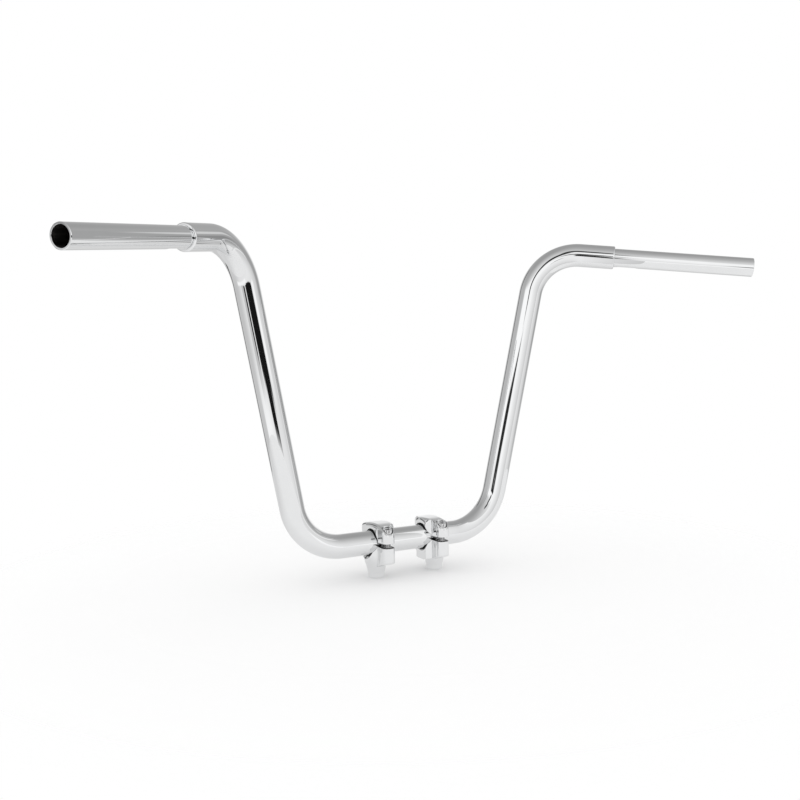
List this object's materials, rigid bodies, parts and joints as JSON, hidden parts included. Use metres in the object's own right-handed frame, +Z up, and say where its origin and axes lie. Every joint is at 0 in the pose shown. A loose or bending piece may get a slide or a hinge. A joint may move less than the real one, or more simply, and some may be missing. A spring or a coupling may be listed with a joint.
{
  "type": "motorcycle handlebar",
  "caption": "Tall bent motorcycle handlebar with stepped grip ends and a level base tube, held in bolted riser clamps with short stems.",
  "frame": {"origin": "midway between the two riser stems, on the plane of their lower faces", "axes": "+X to the rider's right along the clamped tube, +Y forward, +Z up"},
  "size_m": [0.9046, 0.2485, 0.4437],
  "materials": {
    "bar_chrome": "polished chrome plate on steel tube",
    "clamp_chrome": "polished chrome plate on steel",
    "screw_chrome": "polished chrome plate on steel screws"
  },
  "bodies": {
    "root": {"main_tube": "bar_chrome", "left_grip_tube": "bar_chrome", "right_grip_tube": "bar_chrome", "left_clamp_base": "clamp_chrome", "right_clamp_base": "clamp_chrome", "left_clamp_cap": "clamp_chrome", "right_clamp_cap": "clamp_chrome", "clamp_screws": "screw_chrome"}
  },
  "joints": []
}
